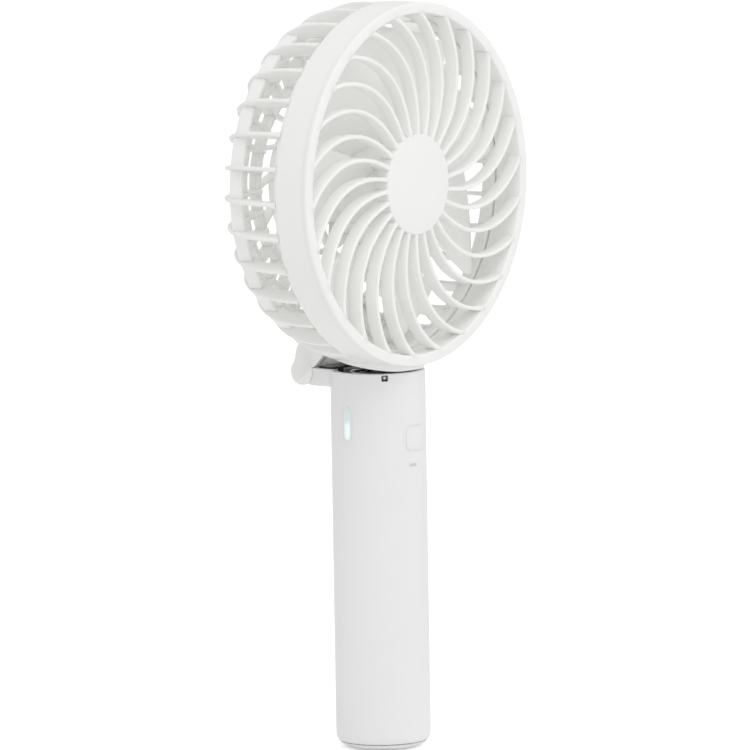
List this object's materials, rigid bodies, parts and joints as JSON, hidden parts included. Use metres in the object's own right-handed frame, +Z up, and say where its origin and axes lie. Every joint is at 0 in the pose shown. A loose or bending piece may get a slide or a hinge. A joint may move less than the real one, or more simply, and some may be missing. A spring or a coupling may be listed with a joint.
{
  "type": "handheld electric fan",
  "caption": "White folding handheld fan: round head with swirl front grille, flat hub disc and ribbed rear cage on a straight cylindrical handle with a side light and a front button.",
  "frame": {"origin": "centre of the handle's flat bottom", "axes": "+Z up the handle towards the head, the grille faces -Y, the fold hinge lies behind the handle at +Y and parallel to X"},
  "size_m": [0.105, 0.0402, 0.2169],
  "materials": {
    "shell_white": "glossy moulded",
    "head_white": "glossy moulded",
    "impeller_white": "glossy, slightly translucent",
    "black_plastic": "satin black",
    "chassis_grey": "matte",
    "steel": "bright drawn steel",
    "zinc_steel": "zinc plated",
    "copper": "enamelled copper",
    "brass_bush": "sintered",
    "nickel": "nickel strip",
    "ferrite": "sintered black",
    "carbon": "pressed carbon",
    "board_green": "solder resist",
    "cell_sleeve": "shrink sleeve over a metal cell",
    "red_wire": "insulation",
    "black_wire": "insulation",
    "white_wire": "insulation",
    "nylon": "natural nylon",
    "led_body": "epoxy",
    "teal_lens": "clear lens lit teal",
    "smoke_window": "smoked window"
  },
  "bodies": {
    "handle": {"handle_tube": "shell_white", "bottom_cap": "shell_white", "hinge_block": "shell_white", "top_plate": "black_plastic", "block_screw_left": "zinc_steel", "block_screw_right": "zinc_steel", "inner_chassis": "chassis_grey", "battery_cell": "cell_sleeve", "cell_tab_positive": "nickel", "cell_tab_negative": "nickel", "circuit_board": "board_green", "tact_switch": "black_plastic", "status_led": "led_body", "light_lens": "teal_lens", "charge_indicator": "smoke_window", "usb_port": "steel", "usb_tongue": "black_plastic", "battery_lead_red": "red_wire", "battery_lead_black": "black_wire"},
    "button": {"power_button": "shell_white", "switch_plunger": "nylon"},
    "clip": {"hanging_clip": "steel"},
    "head": {"front_grille": "head_white", "hub_cap": "head_white", "head_band": "head_white", "rear_cage": "head_white", "rear_cap": "head_white", "motor_can": "zinc_steel", "motor_end_cap": "nylon", "magnet_upper": "ferrite", "magnet_lower": "ferrite", "bush_front": "brass_bush", "bush_rear": "brass_bush", "brush_left": "carbon", "brush_right": "carbon", "motor_screw_left": "zinc_steel", "motor_screw_right": "zinc_steel", "motor_lead_positive": "white_wire", "motor_lead_negative": "white_wire", "hinge_pin": "steel", "hinge_pin_plug": "head_white", "friction_washer_left": "nylon", "friction_washer_right": "nylon"},
    "rotor": {"impeller": "impeller_white", "motor_shaft": "steel", "armature_core": "copper", "commutator": "copper"}
  },
  "joints": [
    {"name": "head_fold", "type": "hinge", "parent": "handle", "child": "head", "pos_m": [0, 0.0203, 0.109], "axis": [-1, 0, 0], "range_deg": [0, 180]},
    {"name": "fan_spin", "type": "hinge", "parent": "head", "child": "rotor", "pos_m": [0, 0, 0.1644], "axis": [0, -1, 0], "continuous": true},
    {"name": "button_press", "type": "slide", "parent": "handle", "child": "button", "axis": [0, 1, 0], "range_m": [0, 0.0005], "stiffness_N_per_m": 400, "springref_m": -0.0005},
    {"name": "clip_swing", "type": "hinge", "parent": "handle", "child": "clip", "pos_m": [0, -0.0092, 0.1089], "axis": [1, 0, 0], "range_deg": [0, 5]}
  ]
}
